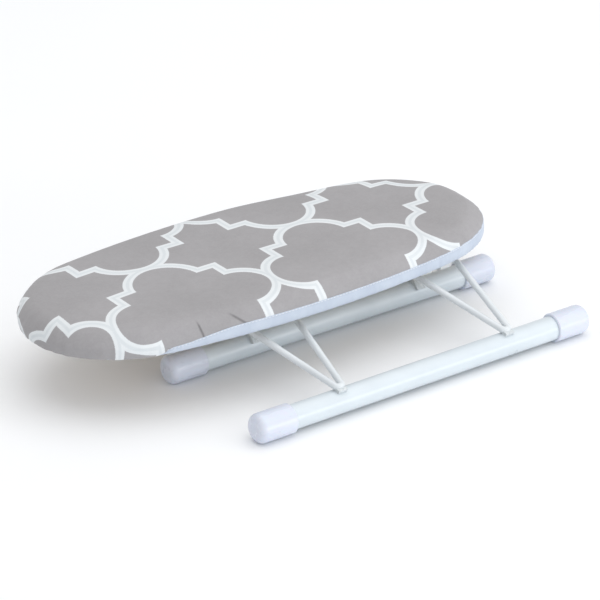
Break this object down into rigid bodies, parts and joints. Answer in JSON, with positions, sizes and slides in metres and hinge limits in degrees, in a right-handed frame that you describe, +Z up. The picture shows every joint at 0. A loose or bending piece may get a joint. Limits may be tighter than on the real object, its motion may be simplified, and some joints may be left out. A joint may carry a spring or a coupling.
{
  "type": "tabletop ironing board",
  "caption": "Small tabletop ironing board: long oval padded board with a fitted patterned cover, on two folding leg frames of tube and V-shaped wire struts.",
  "frame": {"origin": "middle of the whole object's footprint on the table, at table height, with both leg frames swung low as they stand", "axes": "+X along the board from its nose to its tail, +Y from the front leg frame to the rear one, +Z up"},
  "size_m": [0.474, 0.2848, 0.084],
  "materials": {
    "board_fibre": "pressed wood fibre panel",
    "foam": "soft foam and felt padding",
    "cover_cloth": "plain-weave cotton, warm grey with a white printed lattice",
    "white_binding": "white cotton binding tape",
    "elastic": "woven elastic",
    "white_tube": "smooth white powder coat",
    "white_cap": "moulded white plastic",
    "strut_wire": "white coated round wire",
    "clip_steel": "moulded white nylon",
    "screw_steel": "zinc plated"
  },
  "bodies": {
    "board": {"board_panel": "board_fibre", "padding": "foam", "cover_fabric": "cover_cloth", "cover_binding": "white_binding", "hem_elastic": "elastic", "front_hinge_clip_1": "clip_steel", "front_hinge_clip_2": "clip_steel", "front_hinge_clip_3": "clip_steel", "front_hinge_clip_4": "clip_steel", "front_clip_screws": "screw_steel", "rear_hinge_clip_1": "clip_steel", "rear_hinge_clip_2": "clip_steel", "rear_hinge_clip_3": "clip_steel", "rear_hinge_clip_4": "clip_steel", "rear_clip_screws": "screw_steel"},
    "front_leg": {"front_leg_tube": "white_tube", "front_left_end_cap": "white_cap", "front_right_end_cap": "white_cap", "front_left_strut": "strut_wire", "front_right_strut": "strut_wire", "front_welds": "strut_wire"},
    "rear_leg": {"rear_leg_tube": "white_tube", "rear_left_end_cap": "white_cap", "rear_right_end_cap": "white_cap", "rear_left_strut": "strut_wire", "rear_right_strut": "strut_wire", "rear_welds": "strut_wire"}
  },
  "joints": [
    {"name": "front_leg_fold", "type": "hinge", "parent": "board", "child": "front_leg", "pos_m": [0.056, -0.0241, 0.049], "axis": [1, 0, 0], "range_deg": [-10, 52]},
    {"name": "rear_leg_fold", "type": "hinge", "parent": "board", "child": "rear_leg", "pos_m": [0.056, 0.1089, 0.049], "axis": [1, 0, 0], "range_deg": [-10, 91]}
  ]
}
